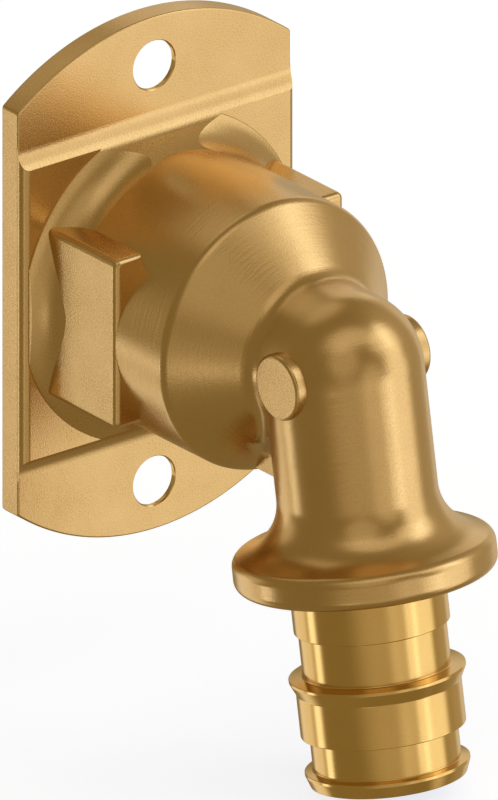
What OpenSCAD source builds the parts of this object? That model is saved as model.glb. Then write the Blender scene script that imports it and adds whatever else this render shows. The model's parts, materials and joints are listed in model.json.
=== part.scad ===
// Wall elbow, forged in brass in one piece. A threaded socket opens at the flat
// face of a two-screw wall plate. Behind the plate the socket's boss narrows
// through a cone into a short tube, which turns down into a leg with a collar
// and a barbed spigot for plastic pipe.
//
// Units are millimetres. The origin is the middle of the socket's mouth, on the
// plate's flat face. +Z is up, +Y points out of the socket's mouth, and the
// elbow lies on the -Y side.

/* [Wall plate] */
// Width of the plate
plate_w = 38.2; // [36:0.1:44]
// Radius of the plate's curved ends, about the socket's axis
plate_end_r = 30.8; // [29:0.1:34]
// Thickness of the plate
plate_t = 3; // [2.5:0.1:4]
// Distance between the two screw holes
screw_pitch = 50; // [46:0.5:51]
// Diameter of a screw hole
screw_hole_d = 5.8; // [4.5:0.1:6.2]

/* [Raised pad] */
// Height of the pad above the plate, also the radius of its two long edges
pad_rise = 1; // [0.6:0.1:1.5]
// Half height of the pad where the cove cuts its front face
pad_half_h = 17.45; // [17:0.05:18]
// Radius of the cove between the plate and the pad's upper and lower walls
cove_r = 3; // [2:0.1:4]
// Slope of those walls above the cove, from the plate's face
cove_slope = 63; // [55:1:75]

/* [Boss] */
// Diameter of the boss
boss_d = 31.7; // [30:0.1:31.9]
// Length of the boss in front of the plate, to its rim
boss_len = 21.7; // [20:0.1:23]
// Radius of the rounded rim between boss and cone
rim_round = 1.5; // [0.5:0.1:2.5]
// Angle of the cone from its axis
cone_angle = 45; // [42:1:48]
// Radius of the flare between boss and pad
flare_r = 5; // [4:0.1:5.2]
// Diameter of the flare on the pad's face
flare_d = 38.6; // [37:0.1:39]

/* [Spanner flats] */
// Distance across the two flats
flats = 32; // [31.8:0.1:34]
// Height of a flat
flat_h = 20.2; // [16:0.1:24]
// Reach of the flats in front of the plate
flat_reach = 13.6; // [10:0.1:18]
// Rounding of their edges
flat_round = 0.75; // [0.3:0.05:1.2]

/* [Elbow] */
// Diameter of the tube on the boss's axis
tube_d = 18; // [17:0.1:19]
// Radius of the neck between cone and tube
neck_r = 2; // [1:0.1:3]
// Distance from the plate to the corner of the elbow
elbow_reach = 33.9; // [32:0.1:36]
// Lean of the leg away from the wall
leg_lean = 10; // [5:0.5:15]
// Diameter of the leg
leg_d = 17.9; // [17:0.1:18.5]
// Thickness of the web under the cone, between boss and leg
web_w = 6.5; // [4:0.1:9]
// Depth of the web's lower edge below the boss's axis
web_drop = 15.1; // [13:0.1:15.5]
// Diameter of the two studs beside the corner
stud_d = 7.6; // [5:0.1:9]
// Height of the studs above the boss's axis
stud_lift = 0.2; // [-0.5:0.1:0.5]
// Distance over the two studs
stud_span = 18.9; // [18.3:0.1:20]
// Rounding of a stud's edge
stud_round = 0.4; // [0.1:0.05:0.5]

/* [Collar] */
// Diameter of the collar
collar_d = 29.4; // [26:0.1:32]
// Distance from the elbow's corner to the collar's lower face
collar_end = 23.9; // [22:0.1:27]
// Height of the collar's rim
collar_rim = 3.6; // [2.5:0.1:4.5]
// Fall of the collar's upper face from the leg to the rim
collar_fall = 2; // [1:0.1:3]
// Radius of the fillet between leg and collar
collar_fillet = 6; // [2:0.1:6.5]
// Rounding of the rim's upper edge
collar_upper_round = 1.3; // [0.5:0.1:1.6]
// Rounding of the rim's lower edge
collar_lower_round = 0.8; // [0.3:0.1:1.4]

/* [Pipe spigot] */
// Diameter of the groove under each barb, and of the shoulder
groove_d = 16.5; // [15.5:0.1:17]
// Diameter of the first shoulder, under the collar
shoulder_d = 17.4; // [17:0.1:18]
// Diameter of the land between the barbs, and of the last barb
land_d = 18.4; // [18:0.1:19]
// Diameter of the first barb
barb_d = 19.7; // [19:0.1:20.5]
// Length of the first shoulder
shoulder_len = 5.5; // [4:0.1:7]
// Length of the first groove
groove_1_len = 5.2; // [4:0.1:6]
// Length of the first barb's taper
barb_len = 1.7; // [1:0.1:2.5]
// Length of the land
land_len = 5; // [4:0.1:7]
// Length of the second groove
groove_2_len = 4; // [3:0.1:5]
// Length of the last barb
tip_len = 1.7; // [1:0.1:3]

/* [Waterway] */
// Bore of the socket, at the tips of its pipe thread
socket_d = 18.6; // [18.2:0.1:19]
// Depth of the socket
socket_depth = 15; // [12:0.5:17]
// Diameter of the drilling from the socket to the corner
inlet_d = 12.8; // [10:0.1:13.4]
// Diameter of the drilling up the leg
outlet_d = 12.4; // [10:0.1:12.6]
// Width of the chamfer at the socket's mouth
mouth_chamfer = 1.3; // [0.8:0.1:1.6]

/* [Hidden] */
$fn = 96;
brass = [0.80, 0.62, 0.36];

// Heights are measured from the plate's flat face, along the socket's axis
pad_top = plate_t + pad_rise;
rim_h = plate_t + boss_len;
flat_top = plate_t + flat_reach;
corner_h = plate_t + elbow_reach;
boss_r = boss_d / 2;
tube_r = tube_d / 2;
leg_r = leg_d / 2;
collar_r = collar_d / 2;
overlap = 0.5;
drill_point = 59;

// The cove starts on the plate's face where its arc, tangent to that face, has
// climbed to the pad's front edge at half height pad_half_h
cove_start = pad_half_h + sqrt(pow(cove_r, 2) - pow(cove_r - pad_rise, 2));
wall_height = 6;

// The flare is an arc whose centre stands so far from the axis that the arc
// sinks a little way into the boss
flare_sink = 0.05;
flare_centre_r = boss_r + flare_r - flare_sink;
flare_end_r = flare_d / 2;
flare_rise = sqrt(pow(flare_r, 2) - pow(flare_centre_r - flare_end_r, 2));
flare_centre_h = pad_top + flare_rise;

// Points of a round stretch about a centre, from one angle to another
function arc(centre, r, from, to, steps = 10) =
    [for (i = [0:steps]) let (a = from + (to - from) * i / steps)
        centre + r * [cos(a), sin(a)]];

// Rounded corner of an outline: the arc of radius r that touches both edges
// which meet at the point p, coming from a and leaving towards b
function rounded(a, p, b, r, steps = 8) =
    let (u = (a - p) / norm(a - p), v = (b - p) / norm(b - p),
         half = acos(u * v) / 2,
         centre = p + r / sin(half) * (u + v) / norm(u + v),
         s = p + u * r / tan(half) - centre,
         e = p + v * r / tan(half) - centre,
         turn = acos(min(1, s * e / (r * r))),
         way = s[0] * e[1] - s[1] * e[0] > 0 ? 1 : -1,
         start = atan2(s[1], s[0]))
    arc(centre, r, start, start + way * turn, steps);

function mirrored(points) = [for (i = [len(points) - 1:-1:0]) [-points[i][0], points[i][1]]];

// Turns a piece drawn along +Z to lie along the socket's axis, towards -Y
module on_socket_axis() {
    rotate([90, 0, 0]) children();
}

// Turns a piece drawn along +Z to hang from the elbow's corner, along the leg
module on_leg_axis() {
    translate([0, -corner_h, 0]) rotate([180 - leg_lean, 0, 0]) children();
}

// Outline of (height across the plate, distance from its flat face), drawn
// along the plate's width
module across_plate(width) {
    on_socket_axis() rotate([90, 0, 90])
        linear_extrude(height = width, center = true) children();
}

// Outline of (place across the width, distance from the flat face), drawn
// along the plate's height
module along_plate(height) {
    on_socket_axis() rotate([90, 0, 0])
        linear_extrude(height = height, center = true) children();
}

module plate() {
    intersection() {
        on_socket_axis() cylinder(r = plate_end_r, h = plate_t);
        translate([0, -plate_t / 2, 0])
            cube([plate_w, plate_t * 2, plate_end_r * 3], center = true);
    }
}

// The coved space that holds the pad and the flare, between its upper and
// lower walls
module between_coves() {
    arc_top = cove_r * (1 - cos(cove_slope));
    arc_in = cove_start - cove_r * sin(cove_slope);
    wall_in = arc_in - (wall_height - arc_top) / tan(cove_slope);
    side = concat(
        [[cove_start, plate_t - overlap]],
        arc([cove_start, plate_t + cove_r], cove_r, -90, -90 - cove_slope, 12),
        [[wall_in, plate_t + wall_height]]);
    across_plate(plate_w + 1) polygon(concat(side, mirrored(side)));
}

module pad() {
    half = plate_w / 2;
    side = concat(
        [[half, plate_t - overlap]],
        arc([half - pad_rise, plate_t], pad_rise, 0, 90, 8));
    intersection() {
        along_plate(plate_end_r * 2) polygon(concat(side, mirrored(side)));
        between_coves();
    }
}

module flare() {
    foot = flare_centre_r - flare_end_r;
    start = -90 - asin(foot / flare_r);
    intersection() {
        on_socket_axis() rotate_extrude() polygon(concat(
            [[boss_r - 2, plate_t], [flare_end_r, plate_t]],
            arc([flare_centre_r, flare_centre_h], flare_r, start, -180, 14),
            [[boss_r - 2, flare_centre_h]]));
        between_coves();
        translate([0, -pad_top, 0])
            cube([plate_w - 2 * pad_rise * 0.6, wall_height * 2, plate_end_r * 2], center = true);
    }
}

// Boss, cone and tube, ending in the half ball that is the elbow's outer corner
module boss() {
    cone_end_h = rim_h + (boss_r - tube_r) / tan(cone_angle);
    rim = rounded([boss_r, plate_t], [boss_r, rim_h], [tube_r, cone_end_h], rim_round);
    neck = rounded([boss_r, rim_h], [tube_r, cone_end_h], [tube_r, corner_h + 9], neck_r);
    on_socket_axis() rotate_extrude() polygon(concat(
        [[0, overlap], [boss_r, overlap]],
        rim,
        neck,
        arc([0, corner_h], tube_r, 0, 90, 24)));
}

module spanner_flats() {
    half_w = flats / 2;
    half_h = flat_h / 2;
    r = flat_round;
    base = plate_t - overlap;
    front = [for (side = [1, -1]) for (p = side > 0
        ? rounded([half_w, base], [half_w, flat_top], [0, flat_top], r)
        : rounded([0, flat_top], [-half_w, flat_top], [-half_w, base], r)) p];
    side = [for (s = [1, -1]) for (p = s > 0
        ? rounded([half_h, base], [half_h, flat_top], [0, flat_top], r)
        : rounded([0, flat_top], [-half_h, flat_top], [-half_h, base], r)) p];
    corners = [[half_w, half_h], [-half_w, half_h], [-half_w, -half_h], [half_w, -half_h]];
    intersection() {
        along_plate(flat_h) polygon(concat([[half_w, base]], front, [[-half_w, base]]));
        across_plate(flats) polygon(concat([[half_h, base]], side, [[-half_h, base]]));
        on_socket_axis() linear_extrude(height = flat_top + overlap)
            polygon([for (i = [0:3])
                for (p = rounded(corners[(i + 3) % 4], corners[i], corners[(i + 1) % 4], r)) p]);
    }
}

module web() {
    reach = elbow_reach - boss_len;
    translate([-web_w / 2, -rim_h - reach / 2, -web_drop])
        cube([web_w, reach / 2 + 3, web_drop - tube_r / 2]);
}

module studs() {
    r = stud_d / 2;
    half = stud_span / 2;
    edge = rounded([r, 0], [r, half], [0, half], stud_round, 6);
    translate([0, -corner_h, stud_lift]) rotate([0, 90, 0])
        rotate_extrude() polygon(concat(
            [[0, half]],
            [for (i = [len(edge) - 1:-1:0]) edge[i]],
            [for (p = edge) [p[0], -p[1]]],
            [[0, -half]]));
}

// Leg, collar and spigot: one turned outline of (radius, distance from the
// elbow's corner along the leg)
module leg() {
    rim_top = collar_end - collar_rim;
    face_top = rim_top - collar_fall;
    groove_r = groove_d / 2;
    land_r = land_d / 2;
    barb_r = barb_d / 2;
    shoulder_end = collar_end + shoulder_len;
    barb_start = shoulder_end + groove_1_len;
    barb_end = barb_start + barb_len;
    land_end = barb_end + land_len;
    tip_start = land_end + groove_2_len;
    tip_end = tip_start + tip_len;
    barb_edge = 0.35;
    barb_root = 0.15;
    on_leg_axis() rotate_extrude() polygon(concat(
        [[0, 0], [leg_r, 0]],
        rounded([leg_r, 0], [leg_r, face_top], [collar_r, rim_top], collar_fillet, 12),
        rounded([leg_r, face_top], [collar_r, rim_top], [collar_r, collar_end], collar_upper_round),
        rounded([collar_r, rim_top], [collar_r, collar_end], [0, collar_end], collar_lower_round),
        [[shoulder_d / 2, collar_end], [shoulder_d / 2, shoulder_end]],
        [[groove_r, shoulder_end], [groove_r, barb_start - barb_root]],
        [[barb_r, barb_start], [barb_r, barb_start + barb_edge], [land_r, barb_end]],
        [[land_r, land_end], [groove_r, land_end], [groove_r, tip_start - barb_root]],
        [[land_r, tip_start], [land_r, tip_start + barb_edge]],
        [[(land_r + groove_r) / 2, tip_end], [0, tip_end]]));
}

// The socket's bore, and two drillings that meet inside the corner, each with
// the conical end that its drill leaves
module waterway() {
    socket_r = socket_d / 2;
    inlet_r = inlet_d / 2;
    outlet_r = outlet_d / 2;
    spigot_end = collar_end + shoulder_len + groove_1_len + barb_len + land_len
        + groove_2_len + tip_len;
    inlet_end = corner_h + 1;
    on_socket_axis() rotate_extrude() polygon([
        [0, -overlap],
        [socket_r + mouth_chamfer + overlap, -overlap],
        [socket_r, mouth_chamfer],
        [socket_r, socket_depth],
        [inlet_r, socket_depth + (socket_r - inlet_r) / tan(drill_point)],
        [inlet_r, inlet_end],
        [0, inlet_end + inlet_r / tan(drill_point)]]);
    on_leg_axis() rotate_extrude() polygon([
        [0, -1 - outlet_r / tan(drill_point)],
        [outlet_r, -1],
        [outlet_r, spigot_end - 1],
        [outlet_r + 0.6, spigot_end + overlap],
        [0, spigot_end + overlap]]);
}

module screw_holes() {
    for (side = [1, -1])
        translate([0, 0, side * screw_pitch / 2])
            on_socket_axis() translate([0, 0, -1]) cylinder(d = screw_hole_d, h = plate_t + 2);
}

module elbow_body() {
    color(brass) difference() {
        union() {
            union() {
                boss();
                leg();
            }
            studs();
            plate();
            pad();
            flare();
            spanner_flats();
            web();
        }
        waterway();
        screw_holes();
    }
}

elbow_body();
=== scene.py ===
# %% [markdown]
# # A wall elbow in forged brass
#
# A wall elbow carries the water from a plastic pipe to a tap or a valve. Its wall plate is screwed to a
# bracket, a male thread enters from the wall's side, and the pipe is pushed on the barbed spigot below. The
# whole fitting is one forging that has been sand-blasted, then drilled, threaded and turned where it must
# seal.
#
# Everything is drawn in millimetres, in the frame of the solid model: the origin is the middle of the
# socket's mouth on the plate's flat face, +Z is up, +Y points into the wall and the elbow comes towards -Y.
# A last step turns millimetres into Blender's metres.

# %% Frame
import json

import bmesh
import bpy
import numpy as np
from mathutils import Matrix, Vector

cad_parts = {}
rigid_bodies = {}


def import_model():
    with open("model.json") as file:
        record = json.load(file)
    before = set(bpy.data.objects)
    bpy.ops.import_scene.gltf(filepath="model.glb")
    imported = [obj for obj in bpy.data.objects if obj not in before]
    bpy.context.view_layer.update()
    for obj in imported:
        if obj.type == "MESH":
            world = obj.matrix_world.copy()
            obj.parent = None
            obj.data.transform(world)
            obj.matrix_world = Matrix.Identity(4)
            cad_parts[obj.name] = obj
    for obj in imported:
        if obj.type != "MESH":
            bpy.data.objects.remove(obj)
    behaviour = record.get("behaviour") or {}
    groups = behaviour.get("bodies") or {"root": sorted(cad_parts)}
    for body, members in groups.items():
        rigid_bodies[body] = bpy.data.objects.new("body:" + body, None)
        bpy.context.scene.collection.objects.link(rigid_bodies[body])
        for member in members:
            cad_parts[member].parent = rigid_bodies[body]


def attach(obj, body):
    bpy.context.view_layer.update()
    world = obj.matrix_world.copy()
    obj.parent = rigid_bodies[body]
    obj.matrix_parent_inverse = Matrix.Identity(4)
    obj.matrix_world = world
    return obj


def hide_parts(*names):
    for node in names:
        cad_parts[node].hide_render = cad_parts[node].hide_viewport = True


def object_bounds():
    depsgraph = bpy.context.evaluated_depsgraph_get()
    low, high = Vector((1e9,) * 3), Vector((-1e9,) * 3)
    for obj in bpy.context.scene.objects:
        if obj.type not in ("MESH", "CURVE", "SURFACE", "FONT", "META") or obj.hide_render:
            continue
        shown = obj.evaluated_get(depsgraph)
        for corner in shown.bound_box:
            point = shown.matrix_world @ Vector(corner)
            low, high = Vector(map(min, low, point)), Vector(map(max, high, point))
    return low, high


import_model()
solid_box = [list(corner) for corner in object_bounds()]
print("solid model's box:", solid_box)

# %% [markdown]
# ## Outlines
#
# Most of this fitting could be modelled by hand with bevelled cylinders. Outlines are used instead, because
# a forging die and a lathe work the same way: one flat outline, turned about an axis or pushed along one.
# Each corner of an outline gets its own rounding, so the softness of the forged edges is decided right
# here.

# %% Rounded outlines
def rounded_outline(corners, radii, steps=8):
    """Closed outline through corners, each cut by an arc that is tangent to its two edges.

    The arc's centre lies on the corner's bisector, radius / sin(half the corner's angle) away, and the arc
    runs from one tangent point to the other. A radius of 0 keeps the corner."""
    corner = np.asarray(corners, float)
    radius = np.asarray(radii, float)[:, None]
    back = np.roll(corner, 1, axis=0) - corner
    ahead = np.roll(corner, -1, axis=0) - corner
    back /= np.linalg.norm(back, axis=1, keepdims=True)
    ahead /= np.linalg.norm(ahead, axis=1, keepdims=True)
    half = np.arccos(np.clip((back * ahead).sum(axis=1, keepdims=True), -1, 1)) / 2
    bisector = back + ahead
    bisector /= np.maximum(np.linalg.norm(bisector, axis=1, keepdims=True), 1e-9)
    centre = corner + bisector * radius / np.sin(half)
    reach = radius / np.tan(half)
    first = corner + back * reach - centre
    last = corner + ahead * reach - centre
    start = np.arctan2(first[:, 1], first[:, 0])
    turn = np.arctan2(last[:, 1], last[:, 0]) - start
    turn = (turn + np.pi) % (2 * np.pi) - np.pi
    angle = start[:, None] + turn[:, None] * np.linspace(0, 1, steps + 1)
    spokes = np.stack([np.cos(angle), np.sin(angle)], axis=-1)
    points = (centre[:, None] + radius[:, None] * spokes).reshape(-1, 2)
    apart = np.linalg.norm(points - np.roll(points, 1, axis=0), axis=1) > 1e-5
    return points[apart]


def finer(points, step):
    """The same open outline with extra points, so that none of its stretches is longer than step."""
    length = np.linalg.norm(np.diff(points, axis=0), axis=1)
    pieces = np.maximum(np.ceil(length / step).astype(int), 1)
    start = np.repeat(points[:-1], pieces, axis=0)
    along = np.repeat(np.diff(points, axis=0), pieces, axis=0)
    count = np.arange(pieces.sum()) - np.repeat(np.cumsum(pieces) - pieces, pieces)
    share = (count / np.repeat(pieces, pieces))[:, None]
    return np.concatenate([start + along * share, points[-1:]])


def round_stretch(centre, radius, start, stop, steps=16):
    """Arc about a centre, from one angle to another, in degrees."""
    angle = np.radians(np.linspace(start, stop, steps + 1))
    return np.asarray(centre) + radius * np.stack([np.cos(angle), np.sin(angle)], axis=1)


# %% Axes of the fitting
corner_reach = 36.9
leg_lean = np.radians(10)

# Rows: where a piece's own x, y and z point in the frame
along_socket = np.array([[1, 0, 0], [0, 0, 1], [0, -1, 0]], float)
lean_cos, lean_sin = np.cos(leg_lean), np.sin(leg_lean)
along_leg = np.array([[1, 0, 0], [0, -lean_cos, lean_sin], [0, -lean_sin, -lean_cos]])
along_width = np.array([[0, 1, 0], [0, 0, 1], [1, 0, 0]], float)
across_plate = np.array([[0, 0, 1], [0, -1, 0], [1, 0, 0]], float)
down_plate = np.array([[1, 0, 0], [0, -1, 0], [0, 0, -1]], float)
wall = np.zeros(3)
elbow_corner = np.array([0, -corner_reach, 0])
print("leg runs towards", along_leg[2].round(3))

# %% [markdown]
# ## Two ways to make a skin
#
# A turned skin carries an outline round an axis, and a pressed skin carries it along one, with its rim
# drawn in where the edge is rounded. Both are grids of two parameters. The skins are only shaded smooth
# where they turn by less than a few degrees, and large faces count for more in that, so that a flat stays
# flat up to its rounded edge. Every face corner keeps the direction that it faces, so that the joined body
# later shades as cleanly as the single skins do.

# %% Skins
def add_skin(name, points, faces, smooth_below=24.0):
    """Mesh object from an array of points and a list of face arrays.

    Coinciding points are merged, which closes seams and poles, faces are turned outwards, and each corner's
    facing is kept in an attribute."""
    mesh = bpy.data.meshes.new(name)
    corners = np.concatenate([part.ravel() for part in faces])
    sizes = np.concatenate([np.full(len(part), part.shape[1]) for part in faces])
    mesh.vertices.add(len(points))
    mesh.vertices.foreach_set("co", points.astype(np.float32).ravel())
    mesh.loops.add(len(corners))
    mesh.loops.foreach_set("vertex_index", corners.astype(np.int32))
    mesh.polygons.add(len(sizes))
    mesh.polygons.foreach_set("loop_start", (np.cumsum(sizes) - sizes).astype(np.int32))
    mesh.update(calc_edges=True)
    shape = bmesh.new()
    shape.from_mesh(mesh)
    bmesh.ops.remove_doubles(shape, verts=shape.verts, dist=1e-4)
    bmesh.ops.recalc_face_normals(shape, faces=shape.faces)
    shape.to_mesh(mesh)
    shape.free()
    mesh.shade_smooth()
    mesh.set_sharp_from_angle(angle=np.radians(smooth_below))
    skin = bpy.data.objects.new(name, mesh)
    bpy.context.collection.objects.link(skin)
    weighing = skin.modifiers.new("weighing", "WEIGHTED_NORMAL")
    weighing.keep_sharp = True
    bpy.context.view_layer.update()
    weighed = skin.evaluated_get(bpy.context.evaluated_depsgraph_get()).to_mesh()
    facing = np.empty(len(mesh.loops) * 3, np.float32)
    weighed.corner_normals.foreach_get("vector", facing)
    skin.modifiers.remove(weighing)
    mesh.attributes.new("facing", "FLOAT_VECTOR", "CORNER").data.foreach_set("vector", facing)
    return skin


def grid_faces(rows, columns):
    """Quads of a grid of points, numbered row by row, whose last column is joined to its first."""
    row = np.arange(rows - 1)[:, None] * columns
    column = np.arange(columns)[None]
    after = (column + 1) % columns
    quads = [row + column, row + after, row + columns + after, row + columns + column]
    return np.stack(quads, axis=-1).reshape(-1, 4)


def turned(name, outline, axes, place, turns=144, smooth_below=24.0, first_angle=0.0):
    """Outline of (radius, height) carried round its axis: the point (r, h) at angle a goes to
    place + r cos(a) x + r sin(a) y + h z, where x, y and z are the rows of axes."""
    angle = np.linspace(0, 2 * np.pi, turns, endpoint=False) + first_angle
    radius, height = outline[:, :1], outline[:, 1:]
    local = np.stack([radius * np.cos(angle), radius * np.sin(angle), height + 0 * angle], axis=-1)
    points = local.reshape(-1, 3) @ axes + place
    return add_skin(name, points, [grid_faces(len(outline), turns)], smooth_below)


def inset(outline, depth):
    """A closed outline drawn in by depth along its own normals, each the mean of its two edges' normals."""
    edge = np.roll(outline, -1, axis=0) - outline
    edge /= np.linalg.norm(edge, axis=1, keepdims=True)
    normal = np.stack([edge[:, 1], -edge[:, 0]], axis=1)
    joint = normal + np.roll(normal, 1, axis=0)
    joint /= (joint * normal).sum(axis=1, keepdims=True)
    return outline - joint * depth


def pressed(name, outline, low, high, axes, place, edge_low=0.0, edge_high=0.0):
    """Closed outline, counter-clockwise, carried from low to high along the third axis.

    At each end the outline follows a quarter circle of the edge's radius r: at angle a it is drawn in by
    r (1 - sin a) and stands r (1 - cos a) from the end. Each end is then closed by a flat face."""
    bend = np.linspace(0, np.pi / 2, 6)
    levels = [(edge_low * (1 - np.sin(a)), low + edge_low * (1 - np.cos(a))) for a in bend]
    levels += [(edge_high * (1 - np.cos(a)), high - edge_high * (1 - np.sin(a))) for a in bend]
    levels = np.array(levels)
    keep = np.concatenate([[True], np.linalg.norm(np.diff(levels, axis=0), axis=1) > 1e-5])
    levels = levels[keep]
    rings = np.stack([np.column_stack([inset(outline, d), np.full(len(outline), h)]) for d, h in levels])
    points = rings.reshape(-1, 3) @ axes + place
    count = len(outline)
    last = (len(levels) - 1) * count
    lid = np.arange(count)[None]
    return add_skin(name, points, [grid_faces(len(levels), count), lid[:, ::-1], last + lid])


# %% [markdown]
# ## The wall plate and its raised pad
#
# The plate is a strip 38 mm wide whose ends are arcs about the socket's axis. A pad, one millimetre higher,
# fills the middle. Its long edges are full quarter rounds, flush with the plate's sides, and its upper and
# lower walls rise out of a soft cove. The flare that carries the boss sinks into the same cove, so both are
# trimmed by one coved block.

# %% Plate
plate_width, plate_thick, plate_end = 38.2, 3.0, 30.8
plate_corner, back_edge, front_edge = 0.5, 0.3, 0.22
half_width = plate_width / 2
end_corner = np.sqrt(plate_end**2 - half_width**2)
sweep = np.degrees(np.arctan2(end_corner, half_width))
top_end = round_stretch([0, 0], plate_end, sweep, 180 - sweep, 40)
corner_rounding = np.zeros(2 * len(top_end))
corner_rounding[[0, len(top_end) - 1, len(top_end), -1]] = plate_corner
plate_outline = rounded_outline(np.concatenate([top_end, -top_end]), corner_rounding, 4)
skins = {}
skins["plate"] = pressed("plate", plate_outline, 0, plate_thick, along_socket, wall, back_edge, front_edge)
print("plate:", len(skins["plate"].data.polygons), "faces, corners at", round(end_corner, 1), "mm")

# %% Pad and flare, trimmed by the coved block
pad_rise, cove_radius, cove_slope, pad_half_height = 1.0, 3.0, 63.0, 17.45
block_reach = 22
pad_face = plate_thick + pad_rise
boss_radius, flare_radius, flare_foot, flare_lip = 15.85, 5.0, 19.3, 0.2
cove_start = pad_half_height + np.sqrt(cove_radius**2 - (cove_radius - pad_rise) ** 2)

cove = round_stretch([cove_start, plate_thick + cove_radius], cove_radius, -90, -90 - cove_slope, 14)
wall_top = cove[-1] + np.array([-1 / np.tan(np.radians(cove_slope)), 1]) * 5
# The block's foot is sunk in the plate, so that no two faces coincide where the bodies are joined
foot = [[cove_start + 0.5, plate_thick - 1.2], [cove_start + 0.35, plate_thick - 0.03]]
half_block = np.concatenate([foot, cove[1:], [wall_top]])
block_outline = np.concatenate([half_block, half_block[::-1] * [-1, 1]])

pad_half = half_width - 0.02
pad_side = round_stretch([pad_half - pad_rise, plate_thick], pad_rise, 0, 90, 10)
half_pad = np.concatenate([[[pad_half, plate_thick - 0.5]], pad_side])
pad_outline = np.concatenate([half_pad, half_pad[::-1] * [-1, 1]])

flare_centre = boss_radius + flare_radius - 0.05
flare_height = pad_face + flare_lip + np.sqrt(flare_radius**2 - (flare_centre - flare_foot) ** 2)
foot_angle = -90 - np.degrees(np.arcsin((flare_centre - flare_foot) / flare_radius))
flare_arc = round_stretch([flare_centre, flare_height], flare_radius, foot_angle, -180, 20)
flare_base = plate_thick - 0.3
flare_outline = np.concatenate([[[0, flare_base], [flare_foot, flare_base]], flare_arc, [[0, flare_height]]])
lip_rounding = np.zeros(len(flare_outline))
lip_rounding[2] = 0.15
flare_outline = rounded_outline(flare_outline, lip_rounding, 5)
skins["pad"] = pressed("pad", pad_outline, -plate_end, plate_end, down_plate, wall)
skins["coves"] = pressed("coves", block_outline, -block_reach, block_reach, across_plate, wall)
skins["flare"] = turned("flare", flare_outline, along_socket, wall, 240)
sides_reach, sides_low, sides_high = 18.4, 1, 12
sides_right = np.array([[sides_reach, sides_low], [sides_reach, sides_high]])
sides_outline = np.concatenate([sides_right[:1] * [-1, 1], sides_right, sides_right[1:] * [-1, 1]])
skins["sides"] = pressed("sides", sides_outline, -block_reach, block_reach, down_plate, wall)
print("cove starts", round(cove_start, 2), "mm from the axis")
print("flare meets the boss", round(flare_height, 2), "mm from the wall")

# %% [markdown]
# ## Boss, tube, leg and studs
#
# The boss holds the thread. It narrows in a 45 degree cone to a tube that ends in a ball, and the leg
# leaves the ball leaning ten degrees from the wall. Two short studs, where the forging was gripped, stand
# on the ball's sides. The skins here are fine grids, because the joint between cone and leg is softened
# afterwards.

# %% Boss, tube and studs
rim_height, tube_radius, leg_radius = 24.7, 9.0, 8.99
grid_step, cone_top_radius, rim_rounding = 0.5, 4, 1.5
cone_top = rim_height + boss_radius - cone_top_radius
boss_corners = [
    [0, 1], [boss_radius, 1], [boss_radius, rim_height],
    [cone_top_radius, cone_top], [0, cone_top],
]
boss_outline = finer(rounded_outline(boss_corners, [0, 0, rim_rounding, 0, 0]), grid_step)
ball = round_stretch([0, corner_reach], tube_radius, 0, 90, 36)
ball[-1] = [0, corner_reach + tube_radius]
tube_start = 20
tube_outline = finer(np.concatenate([[[0, tube_start], [tube_radius, tube_start]], ball]), grid_step)
stud_radius, stud_reach, stud_lift, stud_edge = 3.8, 9.45, 0.2, 0.4
stud_corners = [[0, -stud_reach], [stud_radius, -stud_reach], [stud_radius, stud_reach], [0, stud_reach]]
stud_outline = rounded_outline(stud_corners, [0, stud_edge, stud_edge, 0], 6)
# The studs' points are turned a little, so that none of them meets an edge of the leg exactly
stud_seam = 0.013
skins["boss"] = turned("boss", boss_outline, along_socket, wall, 216)
skins["tube"] = turned("tube", tube_outline, along_socket, wall, 144)
stud_place = elbow_corner + [0, 0, stud_lift]
skins["studs"] = turned("studs", stud_outline, along_width, stud_place, 72, first_angle=stud_seam)

# %% Leg with its collar
collar_radius, collar_top, collar_rim, collar_under = 14.7, 18.3, 20.3, 23.9
collar_fillet, rim_above, rim_below = 6.0, 1.3, 1.2
leg_corners = [
    [0, 0], [leg_radius, 0], [leg_radius, collar_top],
    [collar_radius, collar_rim], [collar_radius, collar_under], [0, collar_under],
]
leg_rounding = [0, 0, collar_fillet, rim_above, rim_below, 0]
leg_outline = finer(rounded_outline(leg_corners, leg_rounding, 14), grid_step)
skins["leg"] = turned("leg", leg_outline, along_leg, elbow_corner, 160)

# %% Spanner flats and web
flats_reach, flats_half, flats_low, flats_high, flats_corner, flats_edge = 16, 10.1, 2.1, 16.6, 0.75, 0.7
flats_right = np.array([[flats_reach, -flats_half], [flats_reach, flats_half]])
flats_outline = rounded_outline(np.concatenate([flats_right, -flats_right]), [flats_corner] * 4, 6)
skins["flats"] = pressed("flats", flats_outline, flats_low, flats_high, along_socket, wall, 0, flats_edge)
web_low, web_high, web_near, web_far = -15.1, -6, 19.5, 31
web_half, web_corner, web_edge = 3.25, 0.4, 0.35
web_corners = [[web_low, web_near], [web_high, web_near], [web_high, web_far], [web_low, web_far]]
web_outline = rounded_outline(web_corners, [web_corner, 0, 0, web_corner], 4)
skins["web"] = pressed("web", web_outline, -web_half, web_half, across_plate, wall, web_edge, web_edge)
print("faces in the skins:", {name: len(skin.data.polygons) for name, skin in skins.items()})

# %% [markdown]
# ## Joining the skins
#
# The real elbow is one piece of metal, so its skins become one closed surface with exact booleans rather
# than standing in each other. The boolean carries each corner's facing along, and a number on every face
# remembers which skin it came from, so that drilled and forged faces can have finishes of their own.

# %% Join
def number_faces(skin, number):
    """Writes the skin's number on each of its faces, where it survives the booleans."""
    origin = skin.data.attributes.new("piece", "INT", "FACE")
    origin.data.foreach_set("value", np.full(len(skin.data.polygons), number, np.int32))


piece_number = {name: number for number, name in enumerate(skins)}
for name, skin in skins.items():
    number_faces(skin, piece_number[name])


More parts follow.
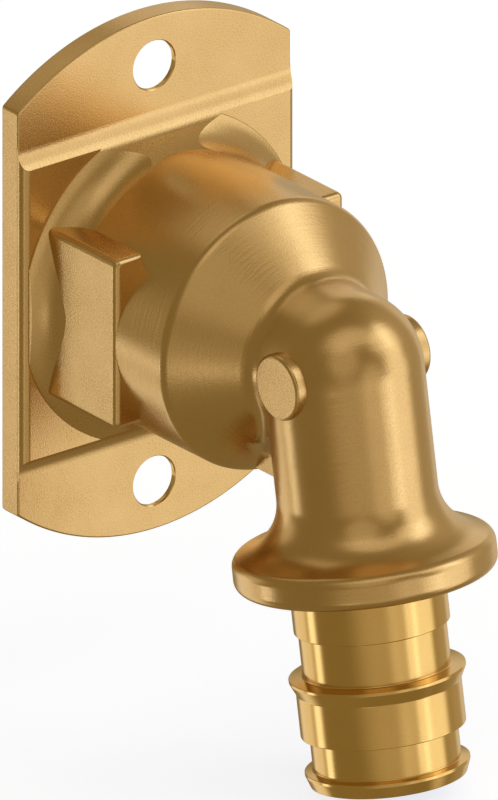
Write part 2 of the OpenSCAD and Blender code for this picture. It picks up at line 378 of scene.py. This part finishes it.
def combine(first, second, operation):
    """first UNION, INTERSECT or DIFFERENCE second. The result replaces first, and second is removed."""
    modifier = first.modifiers.new("combine", "BOOLEAN")
    modifier.object, modifier.operation, modifier.solver = second, operation, "EXACT"
    graph = bpy.context.evaluated_depsgraph_get()
    result = first.evaluated_get(graph)
    mesh = bpy.data.meshes.new_from_object(result, preserve_all_data_layers=True, depsgraph=graph)
    first.modifiers.clear()
    old, first.data = first.data, mesh
    bpy.data.meshes.remove(old)
    bpy.data.meshes.remove(second.data)


base = skins.pop("flare")
combine(base, skins.pop("sides"), "INTERSECT")
combine(base, skins.pop("pad"), "UNION")
combine(base, skins.pop("coves"), "INTERSECT")
body = skins.pop("boss")
body.name = "elbow"
for name in ("tube", "leg", "studs", "web", "flats"):
    combine(body, skins.pop(name), "UNION")
combine(body, base, "UNION")
combine(body, skins.pop("plate"), "UNION")
print("joined body:", len(body.data.polygons), "faces,", len(body.data.vertices), "points")

# %% [markdown]
# ## The soft joint under the cone
#
# Where the leg leaves the cone a forging die has a generous fillet. A Bevel modifier would stumble over the
# ragged seam of a boolean, so the fillet is worked out instead. A ball of the fillet's radius rolls along
# both surfaces, and every point of the skin near the seam moves out until it lies on the ball's path. The
# same sum gives the direction that each point faces, so the joint shades without a seam.

# %% Rolling ball
def rolling_ball(gap_a, facing_a, gap_b, facing_b, radius):
    """Distance and direction of the surface that fills the corner between two surfaces.

    With gaps a and b, directions n and m, and c = n . m, the ball's centre is offset from the point by
    p n + q m, where p = ((R - a) - c (R - b)) / (1 - c c) and q the same with a and b swapped. Where both are
    positive the fillet is the nearest surface, R less the offset's length away. Elsewhere it is the surface
    with the smaller gap."""
    a, b = radius - gap_a, radius - gap_b
    c = (facing_a * facing_b).sum(axis=1)
    flat = np.maximum(1 - c * c, 1e-4)
    p, q = (a - c * b) / flat, (b - c * a) / flat
    offset = p[:, None] * facing_a + q[:, None] * facing_b
    length = np.linalg.norm(offset, axis=1)
    inside = (p > 0) & (q > 0) & (length > 1e-6)
    nearer = (gap_a < gap_b)[:, None]
    gap = np.where(inside, radius - length, np.minimum(gap_a, gap_b))
    to_centre = offset / np.maximum(length, 1e-6)[:, None]
    direction = np.where(inside[:, None], to_centre, np.where(nearer, facing_a, facing_b))
    return gap, direction, inside


def cone_gap(point):
    """Distance from the 45 degree cone behind the boss's rim, and the cone's direction there."""
    radius = np.hypot(point[:, 0], point[:, 2])
    gap = (radius - boss_radius - point[:, 1] - rim_height) * np.sqrt(0.5)
    share = np.sqrt(0.5) / np.maximum(radius, 1e-6)
    forward = np.full(len(point), -np.sqrt(0.5))
    return gap, np.column_stack([point[:, 0] * share, forward, point[:, 2] * share])


def tube_gap(point):
    """Distance from the tube, or from its ball beyond the corner, and the direction there."""
    away = point - elbow_corner
    away[:, 1] = np.minimum(away[:, 1], 0)
    length = np.linalg.norm(away, axis=1)
    return length - tube_radius, away / np.maximum(length, 1e-6)[:, None]


OUT_OF_REACH = 99.0


def leg_gap(point):
    """Distance from the leg below the corner, and the direction there. Above it the leg is out of reach."""
    local = (point - elbow_corner) @ along_leg.T
    down = local[:, 2].copy()
    local[:, 2] = 0
    length = np.linalg.norm(local, axis=1)
    gap = np.where(down > 0, length - leg_radius, OUT_OF_REACH)
    return gap, (local / np.maximum(length, 1e-6)[:, None]) @ along_leg


def soft_body(point, cone_fillet=2.6, corner_fillet=3.0):
    """Cone, tube and leg with both of their joints filled by rolling balls."""
    gap, direction, in_corner = rolling_ball(*tube_gap(point), *leg_gap(point), corner_fillet)
    gap, direction, in_joint = rolling_ball(*cone_gap(point), gap, direction, cone_fillet)
    return gap, direction, in_corner | in_joint


# %% Let the joint settle
def read_array(collection, key, width=1, kind=np.int32):
    """One property of a whole collection as an array, in rows where each member holds several numbers."""
    values = np.empty(len(collection) * width, kind)
    collection.foreach_get(key, values)
    return values.reshape(-1, width) if width > 1 else values


mesh = body.data
point = read_array(mesh.vertices, "co", 3, np.float32).astype(float)
corner_point = read_array(mesh.loops, "vertex_index")
corner_count = read_array(mesh.polygons, "loop_total")
corner_piece = np.repeat(read_array(mesh.attributes["piece"].data, "value"), corner_count)
soft_pieces = [piece_number[name] for name in ("boss", "tube", "leg")]

on_soft = np.zeros(len(point), bool)
on_soft[corner_point[np.isin(corner_piece, soft_pieces)]] = True
skin_gap = np.minimum(np.minimum(cone_gap(point)[0], tube_gap(point)[0]), leg_gap(point)[0])
on_surface, settling_steps = 0.02, 6
moving = on_soft & (np.abs(skin_gap) < on_surface)
before = point.copy()
for _ in range(settling_steps):
    gap, direction, soft = soft_body(point[moving])
    point[moving] -= np.where(soft, gap, 0)[:, None] * direction
gap, direction, soft = soft_body(point[moving])
settled = np.zeros(len(point), bool)
settled[np.flatnonzero(moving)[soft]] = True
faces_to = np.zeros((len(point), 3))
faces_to[moving] = direction
mesh.vertices.foreach_set("co", point.astype(np.float32).ravel())
furthest = np.linalg.norm(point - before, axis=1).max()
print("points settled:", settled.sum(), "moved at most", furthest.round(2), "mm")

# %% Keep each corner's direction
facing = read_array(mesh.attributes["facing"].data, "vector", 3, np.float32).astype(float)
soft_corner = settled[corner_point] & np.isin(corner_piece, soft_pieces)
facing[soft_corner] = faces_to[corner_point][soft_corner]
mesh.attributes["facing"].data.foreach_set("vector", facing.astype(np.float32).ravel())
mesh.update()

# %% [markdown]
# ## Drilling, threading and finishing the forging
#
# The socket carries a half-inch pipe thread. A tap cuts it, so here a screw-shaped plug is subtracted: its
# radius is a rounded wave that climbs one pitch a turn. The drilled waterway, the two screw holes and the
# chamfer at the socket's mouth are turned plugs. They come after the fillet, as on the real part.

# %% Plugs
thread_pitch, thread_tip, thread_depth, thread_end = 1.814, 9.3, 1.16, 13.6
thread_start, thread_step, thread_fade, thread_smooth_below = 1.6, 0.155, 1.5, 50
inlet_radius, outlet_radius, socket_depth, spigot_end = 6.4, 6.2, 15.0, 47.0
mouth_chamfer_radius, past_end, outlet_reach, outlet_seam = 10.7, 1, 30, 0.011
drill_slope = np.tan(np.radians(59))


def socket_plug(name, turns=132):
    """Everything that is cut from the wall's side, as one plug.

    At height h and angle a the thread's radius is tip + depth * w, where w is a wave of h / pitch - a / full
    turn with flattened crests, and its depth fades over the last turn. The chamfer's cone overrules it at the
    mouth, and the drilled outline takes over below it."""
    mouth = np.linspace(-past_end, thread_start, 14)
    thread = np.arange(thread_start + 0.15, thread_end, thread_step)
    inlet_start = socket_depth + (thread_tip - inlet_radius) / drill_slope
    inlet_end = corner_reach + past_end
    height = np.concatenate([mouth, thread, [thread_end, socket_depth, inlet_start, inlet_end]])
    drilled = np.full(len(height), thread_tip)
    drilled[-2:] = inlet_radius
    angle = np.linspace(0, 2 * np.pi, turns, endpoint=False)
    wave = 0.5 + 0.5 * np.cos(2 * np.pi * height[:, None] / thread_pitch - angle)
    fade = np.clip((thread_end - 0.3 - height) / thread_fade, 0, 1)[:, None]
    radius = drilled[:, None] + thread_depth * np.clip(1.5 * wave - 0.25, 0, 1) * fade
    near_mouth = height[:, None] <= plate_thick
    radius = np.where(near_mouth, np.maximum(radius, mouth_chamfer_radius - height[:, None]), radius)
    ring = np.stack([radius * np.cos(angle), radius * np.sin(angle), height[:, None] + 0 * angle], axis=-1)
    tip = inlet_end + inlet_radius / drill_slope
    points = np.concatenate([ring.reshape(-1, 3), [[0, 0, height[0]], [0, 0, tip]]])
    count = len(height) * turns
    column = np.arange(turns)
    after = (column + 1) % turns
    last = count - turns
    caps = [np.stack([np.full(turns, count), column, after], axis=1)]
    caps += [np.stack([np.full(turns, count + 1), last + after, last + column], axis=1)]
    return add_skin(name, points @ along_socket, [grid_faces(len(height), turns), *caps], thread_smooth_below)


outlet_tip = -past_end - outlet_radius / drill_slope
outlet_corners = [
    [0, outlet_tip], [outlet_radius, -past_end], [outlet_radius, outlet_reach], [0, outlet_reach],
]
# Each screw hole is open towards the wall, narrow in front and broken at its front edge. Both of its cones
# run on past the plate's faces, so that the cut is clean
screw_pitch, hole_radius, throat_start, throat_end = 50, 2.9, 2.4, 2.88
back_radius, past_back, front_radius, past_front = 6.3, -past_end, 4.0, plate_thick + 0.98
hole_corners = [
    [0, past_back], [back_radius, past_back], [hole_radius, throat_start],
    [hole_radius, throat_end], [front_radius, past_front], [0, past_front],
]
outlet_outline, hole_outline = np.array(outlet_corners, float), np.array(hole_corners, float)
upper_hole = np.array([0, 0, screw_pitch / 2])
plugs = [
    socket_plug("socket"),
    turned("outlet", outlet_outline, along_leg, elbow_corner, 96, first_angle=outlet_seam),
    turned("upper_hole", hole_outline, along_socket, upper_hole, 72),
    turned("lower_hole", hole_outline, along_socket, -upper_hole, 72),
]
DRILLED = len(piece_number)
for plug in plugs:
    number_faces(plug, DRILLED)
for plug in plugs:
    combine(body, plug, "DIFFERENCE")
print("bored body:", len(body.data.polygons), "faces")

# %% [markdown]
# ## The finished body
#
# The joined skin is moved from millimetres to metres, and its corners are shaded by the directions that
# they carried. Faces cut by a plug still carry the plug's outward directions, so those are turned round.

# %% Finish the body
METRE = 0.001


def finish_skin(skin, name):
    """Scales a skin to metres and shades it by its kept directions, turned to the side its faces point to.

    A kept direction that leans too far from its face, or has almost no length, gives way to the face's."""
    mesh = skin.data
    mesh.transform(Matrix.Scale(METRE, 4))
    corners = read_array(mesh.polygons, "loop_total")
    normal = np.repeat(read_array(mesh.polygons, "normal", 3, np.float32), corners, axis=0)
    kept = read_array(mesh.attributes["facing"].data, "vector", 3, np.float32)
    side = (kept * normal).sum(axis=1)
    kept *= np.sign(side + 1e-9)[:, None]
    doubtful = (np.abs(side) < 0.3) | (np.linalg.norm(kept, axis=1) < 0.5)
    kept[doubtful] = normal[doubtful]
    kept /= np.linalg.norm(kept, axis=1, keepdims=True)
    mesh.shade_smooth()
    mesh.normals_split_custom_set(kept.tolist())
    mesh.attributes.remove(mesh.attributes["facing"])
    mesh.name = skin.name = name
    print(name, "corners shaded flat:", int(doubtful.sum()), "of", len(kept))


finish_skin(body, "elbow")

# %% [markdown]
# ## The turned spigot
#
# Below the collar the casting skin has been turned away, and the spigot shines more than the rest. It is a
# skin of its own, so that it can have its own finish: two grooves, a land between them and two barbs whose
# square shoulders face the collar, to hold the pipe. Its upper end is hidden in the collar.

# %% Spigot
groove, shoulder, land, barb = 8.25, 8.7, 9.2, 9.85
spigot_corners = [
    [outlet_radius, 22.5], [shoulder - 0.3, 22.5], [shoulder, 22.8], [shoulder, 29.4], [groove, 29.4],
    [groove, 34.45], [barb, 34.6], [barb, 34.95], [land, 36.3], [land, 41.3], [groove, 41.3],
    [groove, 45.15], [land, 45.3], [land, 45.65], [shoulder, spigot_end],
    [outlet_radius + 0.4, spigot_end], [outlet_radius, spigot_end - 0.4],
]
spigot_rounding = [0, 0, 0, 0.12, 0.15, 0.15, 0.08, 0.08, 0.4, 0.12, 0.15, 0.15, 0.08, 0.1, 0.15, 0.1, 0.1]
spigot_outline = rounded_outline(spigot_corners, spigot_rounding, 4)
spigot_outline = np.concatenate([spigot_outline, spigot_outline[:1]])
spigot = turned("spigot", spigot_outline, along_leg, elbow_corner, 192, 30)
finish_skin(spigot, "spigot")

for piece_object in (body, spigot):
    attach(piece_object, "root")
    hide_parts("elbow_body")

# %% [markdown]
# ## Brass
#
# Blasting with fine sand leaves the forging satin: close up it is a field of dimples a fifth of a
# millimetre wide, and from a distance it is mottled, since the blast never hits evenly. A painted picture
# could show this, but a pattern worked out in the piece's own coordinates has no seams and stays sharp at
# any distance. Boss, cone, leg and collar have also been cleaned up on a lathe, which leaves faint lines
# round their axes.

# %% Node helpers
def add_node(tree, kind, inputs=(), **settings):
    """Adds a node, sets its properties, and fills its inputs by name or number with values or links."""
    node = tree.nodes.new(kind)
    for key, value in settings.items():
        setattr(node, key, value)
    for key, value in dict(inputs).items():
        if isinstance(value, bpy.types.NodeSocket):
            tree.links.new(value, node.inputs[key])
        else:
            node.inputs[key].default_value = value
    return node


def new_group(name, inputs, outputs):
    """Empty node group with the given sockets, and its input and output nodes."""
    group = bpy.data.node_groups.new(name, "ShaderNodeTree")
    for direction, sockets in (("INPUT", inputs), ("OUTPUT", outputs)):
        for socket, kind in sockets.items():
            group.interface.new_socket(socket, in_out=direction, socket_type=kind)
    return group, group.nodes.new("NodeGroupInput"), group.nodes.new("NodeGroupOutput")


def map_range(tree, value, from_min, from_max, to_min, to_max, **settings):
    """Output of a node that carries value from one range to another, and no further."""
    ranges = {"From Min": from_min, "From Max": from_max, "To Min": to_min, "To Max": to_max}
    return add_node(tree, "ShaderNodeMapRange", {"Value": value, **ranges}, **settings).outputs[0]


FLOAT, VECTOR = "NodeSocketFloat", "NodeSocketVector"

# %% Sand grain
grain, grain_in, grain_out = new_group(
    "sand grain", {"Point": VECTOR}, {"Height": FLOAT, "Speckle": FLOAT, "Mottle": FLOAT}
)
in_metres = grain_in.outputs["Point"]


def grain_noise(scale, detail, roughness=0.5):
    """Noise of the given number of waves in a metre."""
    values = {"Vector": in_metres, "Scale": scale, "Detail": detail, "Roughness": roughness}
    return add_node(grain, "ShaderNodeTexNoise", values)


dimples = grain_noise(5000.0, 1.0, 0.6)
pits = grain_noise(1500.0, 2.0)
clouds = grain_noise(190.0, 4.0, 0.55)
pit_share = {0: pits.outputs[0], 1: 0.3, 2: dimples.outputs[0]}
both = add_node(grain, "ShaderNodeMath", pit_share, operation="MULTIPLY_ADD")
for node, name in ((both, "Height"), (dimples, "Speckle"), (clouds, "Mottle")):
    grain.links.new(node.outputs[0], grain_out.inputs[name])
print("sand grain:", len(grain.nodes), "nodes")

# %% Lathe lines
# Long streaks: the noise runs quickly along the axis and slowly round it
radius_share, lines_in_metre, streaks_round = -0.6, 2600.0, 2.2
lines, lines_in, lines_out = new_group("lathe lines", {"Point": VECTOR}, {"Height": FLOAT})
split = add_node(lines, "ShaderNodeSeparateXYZ", {0: lines_in.outputs[0]})
across = add_node(lines, "ShaderNodeCombineXYZ", {"X": split.outputs["X"], "Y": split.outputs["Y"]})
radius = add_node(lines, "ShaderNodeVectorMath", {0: across.outputs[0]}, operation="LENGTH")
around = add_node(lines, "ShaderNodeVectorMath", {0: across.outputs[0]}, operation="NORMALIZE")
on_cone = {0: radius.outputs["Value"], 1: radius_share, 2: split.outputs["Z"]}
rise = add_node(lines, "ShaderNodeMath", on_cone, operation="MULTIPLY_ADD")
pitch = add_node(lines, "ShaderNodeMath", {0: rise.outputs[0], 1: lines_in_metre}, operation="MULTIPLY")
turn = add_node(lines, "ShaderNodeVectorMath", {0: around.outputs[0], 3: streaks_round}, operation="SCALE")
turn_split = add_node(lines, "ShaderNodeSeparateXYZ", {0: turn.outputs[0]})
on_lathe = {"X": turn_split.outputs["X"], "Y": turn_split.outputs["Y"], "Z": pitch.outputs[0]}
place_on_lathe = add_node(lines, "ShaderNodeCombineXYZ", on_lathe)
streak = {"Vector": place_on_lathe.outputs[0], "Scale": 1.0, "Detail": 2.0, "Roughness": 0.7}
marks = add_node(lines, "ShaderNodeTexNoise", streak)
lines.links.new(marks.outputs[0], lines_out.inputs["Height"])
print("lathe lines:", len(lines.nodes), "nodes")

# %% [markdown]
# The finishes share one recipe. The mottling runs between two near tones of brass and also changes the
# roughness, because what is blasted harder scatters more light. The speckle lightens the crests of the
# grain. Grain and lathe lines then go into one bump, each with its own depth.

# %% Finishes
def brass(name, dark, light, roughness, spread, grain_depth, line_depth, axes=along_socket, place=wall):
    """Metal with two tones, a roughness that spreads about its middle value, and a bump from grain and lines.

    The lines run round the third of the axes, through the given place."""
    material = bpy.data.materials.new(name)
    material.use_nodes = True
    tree = material.node_tree
    shader = tree.nodes["Principled BSDF"]
    shader.inputs["Metallic"].default_value = 1
    point = add_node(tree, "ShaderNodeTexCoord").outputs["Object"]
    sand = add_node(tree, "ShaderNodeGroup", node_tree=grain)
    tree.links.new(point, sand.inputs["Point"])
    leaning = Matrix(axes.tolist()).transposed().to_euler()
    own_axis = {"Vector": point, "Location": Vector(place) * METRE, "Rotation": leaning}
    on_axis = add_node(tree, "ShaderNodeMapping", own_axis, vector_type="TEXTURE")
    lathe = add_node(tree, "ShaderNodeGroup", node_tree=lines)
    tree.links.new(on_axis.outputs[0], lathe.inputs["Point"])

    tone = map_range(tree, sand.outputs["Mottle"], 0.1, 0.9, 0, 1)
    speckle = map_range(tree, sand.outputs["Speckle"], 0.25, 0.75, -0.35, 0.35)
    mottled = add_node(tree, "ShaderNodeMath", {0: tone, 1: speckle}, operation="ADD", use_clamp=True)
    level = mottled.outputs[0]
    tones = {0: level, 6: (*dark, 1), 7: (*light, 1)}
    color = add_node(tree, "ShaderNodeMix", tones, data_type="RGBA")
    tree.links.new(color.outputs[2], shader.inputs["Base Color"])
    rough = map_range(tree, level, 0, 1, roughness + spread, roughness - spread)
    tree.links.new(rough, shader.inputs["Roughness"])
    grain_bump = add_node(tree, "ShaderNodeBump", {"Height": sand.outputs["Height"], "Distance": grain_depth})
    ridges = {"Height": lathe.outputs["Height"], "Distance": line_depth, "Normal": grain_bump.outputs[0]}
    line_bump = add_node(tree, "ShaderNodeBump", ridges)
    tree.links.new(line_bump.outputs[0], shader.inputs["Normal"])
    print(name, "has", len(tree.nodes), "nodes")
    return material


MICRON = 1e-6
satin = (0.675, 0.457, 0.200), (0.745, 0.513, 0.245)
bored = (0.690, 0.460, 0.175), (0.750, 0.505, 0.205)
bright = (0.745, 0.495, 0.180), (0.800, 0.540, 0.210)
leg_axis = along_leg, elbow_corner
blasted = brass("blasted brass", *satin, 0.26, 0.03, 13 * MICRON, 0.0)
boss_skin = brass("boss brass", *satin, 0.25, 0.03, 11 * MICRON, 16 * MICRON)
leg_skin = brass("leg brass", *satin, 0.24, 0.03, 10 * MICRON, 13 * MICRON, *leg_axis)
drilled = brass("drilled brass", *bored, 0.19, 0.03, 4 * MICRON, 6 * MICRON)
turned_brass = brass("turned brass", *bright, 0.165, 0.02, 1 * MICRON, 3 * MICRON, *leg_axis)

# %% Who wears what
BLASTED, BOSS, LEG, BORED = range(4)
finish_of = np.full(DRILLED + 1, BLASTED, np.int32)
finish_of[piece_number["boss"]] = BOSS
finish_of[[piece_number["tube"], piece_number["leg"]]] = LEG
finish_of[DRILLED] = BORED
body.data.materials.clear()
for material in (blasted, boss_skin, leg_skin, drilled):
    body.data.materials.append(material)
made_by = read_array(body.data.attributes["piece"].data, "value")
body.data.polygons.foreach_set("material_index", finish_of[made_by])
body.data.attributes.remove(body.data.attributes["piece"])
spigot.data.materials.append(turned_brass)
print("faces per finish:", np.bincount(finish_of[made_by]))

# %% [markdown]
# ## Camera
#
# The picture was taken from far away with a long lens, so the plate's edges run parallel. A camera
# without perspective stands in for it. It looks down on the fitting from its left, and the aim is the point
# of the fitting's middle plane that lies in the middle of the picture.

# %% Camera
picture_height, pixels_in_mm = 800, 9.06
camera_data = bpy.data.cameras.new("camera")
camera_data.type = "ORTHO"
camera_data.ortho_scale = picture_height / pixels_in_mm * METRE
right = Vector((0.788, -0.616, 0)).normalized()
toward_camera = Vector((-0.565, -0.723, 0.397)).normalized()
up = toward_camera.cross(right).normalized()
right = up.cross(toward_camera).normalized()
aim = Vector((0, -19.97, -9.49)) * METRE
camera = bpy.data.objects.new("camera", camera_data)
bpy.context.collection.objects.link(camera)
pose = Matrix((right, up, toward_camera)).transposed().to_4x4()
camera_distance = 0.5
pose.translation = aim + toward_camera * camera_distance
camera.matrix_world = pose
camera_data.clip_end = 10
bpy.context.scene.camera = camera
print("picture is", round(camera_data.ortho_scale * 1000, 1), "mm high")

# %% [markdown]
# ## A white studio
#
# Polished or blasted metal shows its surroundings, so the surroundings are the light here. They are a dim,
# warm room with white panels hung round the fitting, each a soft-edged ellipse of the sky with its place
# given as an azimuth from the camera's side towards the right and an elevation. Lamps would do as well, but
# panels drawn in the world need no shadows and can also stand below the floor's level. The camera itself
# sees plain white.

# %% Studio directions
front = Vector((toward_camera.x, toward_camera.y, 0)).normalized()
side = right.copy()
upward = Vector((0, 0, 1))


def panel_axes(azimuth, elevation):
    """Directions of a panel's middle, its width and its height."""
    turn, rise = np.radians(azimuth), np.radians(elevation)
    level = front * np.cos(turn) + side * np.sin(turn)
    middle = level * np.cos(rise) + upward * np.sin(rise)
    across = side * np.cos(turn) - front * np.sin(turn)
    return middle, across, middle.cross(across)


# %% Panels
# Azimuth, elevation, half width and half height in degrees, softness of the edge, strength
panels = {
    "right wall": (84, -1, 19, 37, 0.3, 0.95),
    "right wall, upper end": (103, 36, 12, 20, 0.3, 0.75),
    "right wall, near edge": (61, -9, 9, 11, 0.4, 0.85),
    "right ceiling": (84, 42, 20, 13, 0.3, 0.60),
    "left, behind": (-128, -29, 19, 22, 0.3, 0.70),
    "left, middle": (-117, 0, 16, 15, 0.4, 0.40),
    "left strip": (-95, -23, 7, 5, 0.5, 1.45),
    "behind, right": (160, -11, 16, 32, 0.35, 0.35),
    "behind": (180, 20, 16, 15, 0.3, 0.50),
    "behind, high": (-147, 52, 20, 16, 0.4, 0.30),
    "front, high": (0, 33, 21, 24, 0.3, 0.25),
    "front, low": (12, -17, 30, 21, 0.6, 0.25),
    "front spot": (-14, -23, 8, 6, 0.5, 0.45),
    "front right": (42, 2, 16, 22, 0.5, 0.35),
    "far right": (132, 8, 26, 51, 0.5, 0.20),
    "ceiling": (22, 67, 35, 14, 0.4, 0.45),
}
room = (0.275, 0.215, 0.10)
panel_edge, panel_middle, full_white = (1.0, 0.90, 0.76), (1.0, 1.06, 1.12), 1.3
world = bpy.data.worlds.new("studio")
bpy.context.scene.world = world
world.use_nodes = True
studio = world.node_tree
background = studio.nodes["Background"]
sky = add_node(studio, "ShaderNodeTexCoord").outputs["Generated"]
light = None
for azimuth, elevation, half_width, half_height, softness, strength in panels.values():
    middle, across, tall = panel_axes(azimuth, elevation)
    facing_panel = Matrix((middle, across, tall)).transposed().to_euler()
    size = (1, np.sin(np.radians(half_width)), np.sin(np.radians(half_height)))
    hung = {"Vector": sky, "Location": middle, "Rotation": facing_panel, "Scale": size}
    on_panel = add_node(studio, "ShaderNodeMapping", hung, vector_type="TEXTURE")
    off_middle = add_node(studio, "ShaderNodeVectorMath", {0: on_panel.outputs[0]}, operation="LENGTH")
    edge = 1 + softness, 1 - softness
    glow = map_range(studio, off_middle.outputs["Value"], *edge, 0, strength, interpolation_type="SMOOTHSTEP")
    if light is None:
        light = glow
    else:
        light = add_node(studio, "ShaderNodeMath", {0: light, 1: glow}, operation="ADD").outputs[0]
whiteness = map_range(studio, light, 0, full_white, 0, 1)
panel_tones = {0: whiteness, 6: (*panel_edge, 1), 7: (*panel_middle, 1)}
tint = add_node(studio, "ShaderNodeMix", panel_tones, data_type="RGBA")
tinted = add_node(studio, "ShaderNodeVectorMath", {0: tint.outputs[2], 3: light}, operation="SCALE")
lit_room = add_node(studio, "ShaderNodeVectorMath", {0: tinted.outputs[0], 1: room}, operation="ADD")
seen = add_node(studio, "ShaderNodeLightPath")
looking = {0: seen.outputs["Is Camera Ray"], 1: seen.outputs["Is Transmission Ray"]}
shown_white = add_node(studio, "ShaderNodeMath", looking, operation="MAXIMUM")
backdrops = {0: shown_white.outputs[0], 6: lit_room.outputs[0], 7: (1, 1, 1, 1)}
backdrop = add_node(studio, "ShaderNodeMix", backdrops, data_type="RGBA")
studio.links.new(backdrop.outputs[2], background.inputs["Color"])
print("studio:", len(panels), "panels")

# %% [markdown]
# ## Floor
#
# The floor lies just under the fitting and is as white as the background. Part of its white is its own, for
# the camera only, and the rest is lit paint, which keeps the soft shadow. It neither shows in the brass nor
# keeps the light of the low panels from it.

# %% Floor
floor_gap, floor_size = 0.0001, 3.0
floor_height = min(solid_box[0][2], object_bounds()[0][2]) - floor_gap
floor_sides = ((-1, -1), (1, -1), (1, 1), (-1, 1))
floor_corners = [(x * floor_size, y * floor_size, floor_height) for x, y in floor_sides]
floor_mesh = bpy.data.meshes.new("floor")
floor_mesh.from_pydata(floor_corners, [], [(0, 1, 2, 3)])
floor = bpy.data.objects.new("floor", floor_mesh)
bpy.context.collection.objects.link(floor)
floor.visible_glossy = False
floor.visible_shadow = False
paint = bpy.data.materials.new("floor paint")
paint.use_nodes = True
coat = paint.node_tree.nodes["Principled BSDF"]
coat.inputs["Base Color"].default_value = (0.55, 0.55, 0.55, 1)
coat.inputs["Roughness"].default_value = 0.9
coat.inputs["Specular IOR Level"].default_value = 0
coat.inputs["Emission Color"].default_value = (0.73, 0.765, 0.83, 1)
looked_at = add_node(paint.node_tree, "ShaderNodeLightPath")
paint.node_tree.links.new(looked_at.outputs["Is Camera Ray"], coat.inputs["Emission Strength"])
floor_mesh.materials.append(paint)
print("floor at", round(floor_height, 4))

scene = bpy.context.scene
scene.view_settings.view_transform = "Standard"
